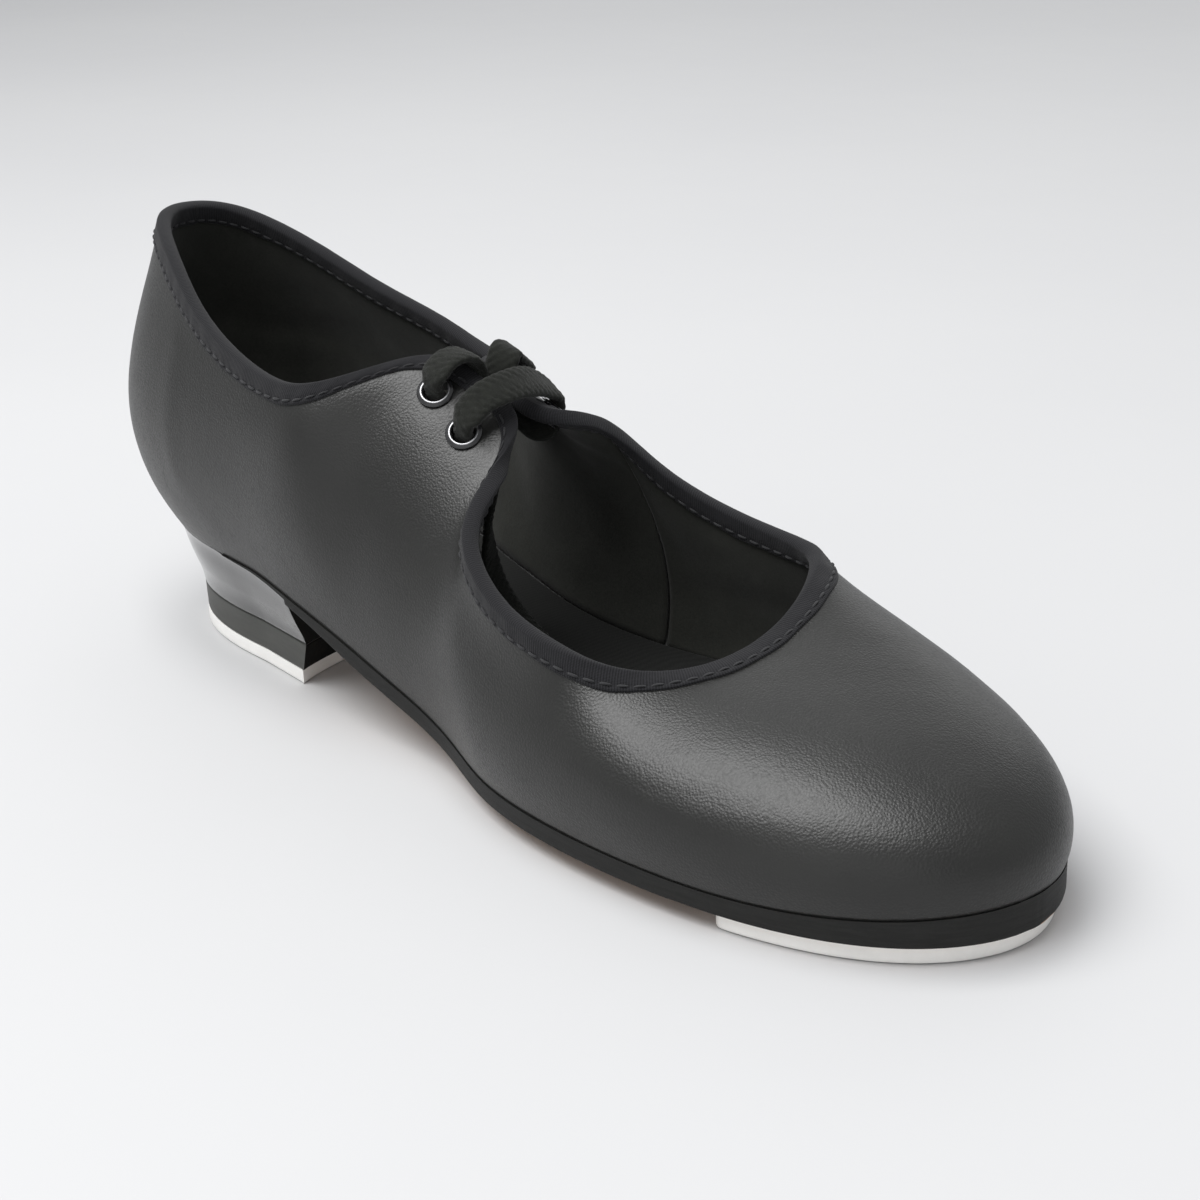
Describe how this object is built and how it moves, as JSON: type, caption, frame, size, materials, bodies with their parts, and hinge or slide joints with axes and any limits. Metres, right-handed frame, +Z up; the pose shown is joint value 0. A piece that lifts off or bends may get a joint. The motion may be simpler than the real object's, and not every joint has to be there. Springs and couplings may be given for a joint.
{
  "type": "tap shoe",
  "caption": "Low-heeled tap shoe, right foot: black lasted upper with laced eyelet tabs over an open throat, block heel, and metal toe and heel taps.",
  "frame": {"origin": "on the floor under the middle of the shoe's box, where the shoe stands on its two taps", "axes": "+X from heel to toe along the length of the shoe, +Y to the medial (inner) side of this right shoe, +Z up"},
  "size_m": [0.2502, 0.0799, 0.0944],
  "materials": {
    "upper": "black pebble-grained PU coated leathercloth, semi-matt",
    "lining": "black brushed textile lining",
    "binding": "black woven binding tape, folded over the edge and stitched",
    "stiffener": "impregnated fibre sheet, skived edges",
    "stay": "woven reinforcement tape",
    "eyelet": "black lacquered flange with a bright inner rim",
    "lace": "flat tubular woven cotton lace, black",
    "aglet": "black acetate tip",
    "board": "cellulose insole board",
    "sock": "black textile sock lining",
    "filler": "felt filler",
    "shank": "tempered spring steel",
    "fastener": "zinc plated steel",
    "outsole": "tan split leather tread with a black painted edge",
    "heel": "black glossy moulded heel block",
    "lift": "black matt rubber top lift",
    "tap": "cast and tumbled aluminium alloy, satin"
  },
  "bodies": {
    "root": {"upper": "upper", "quarter_lining": "lining", "vamp_lining": "lining", "heel_counter": "stiffener", "toe_puff": "stiffener", "lateral_eyelet_stay": "stay", "medial_eyelet_stay": "stay", "topline_binding": "binding", "lateral_eyelets": "eyelet", "medial_eyelets": "eyelet", "lace": "lace", "lace_aglets": "aglet", "insole_board": "board", "sock_lining": "sock", "forefoot_filler": "filler", "shank": "shank", "shank_rivets": "fastener", "outsole": "outsole", "heel_block": "heel", "heel_seat_nails": "fastener", "heel_lift": "lift", "heel_tap": "tap", "heel_tap_screws": "fastener", "toe_tap": "tap", "toe_tap_screws": "fastener"}
  },
  "joints": []
}
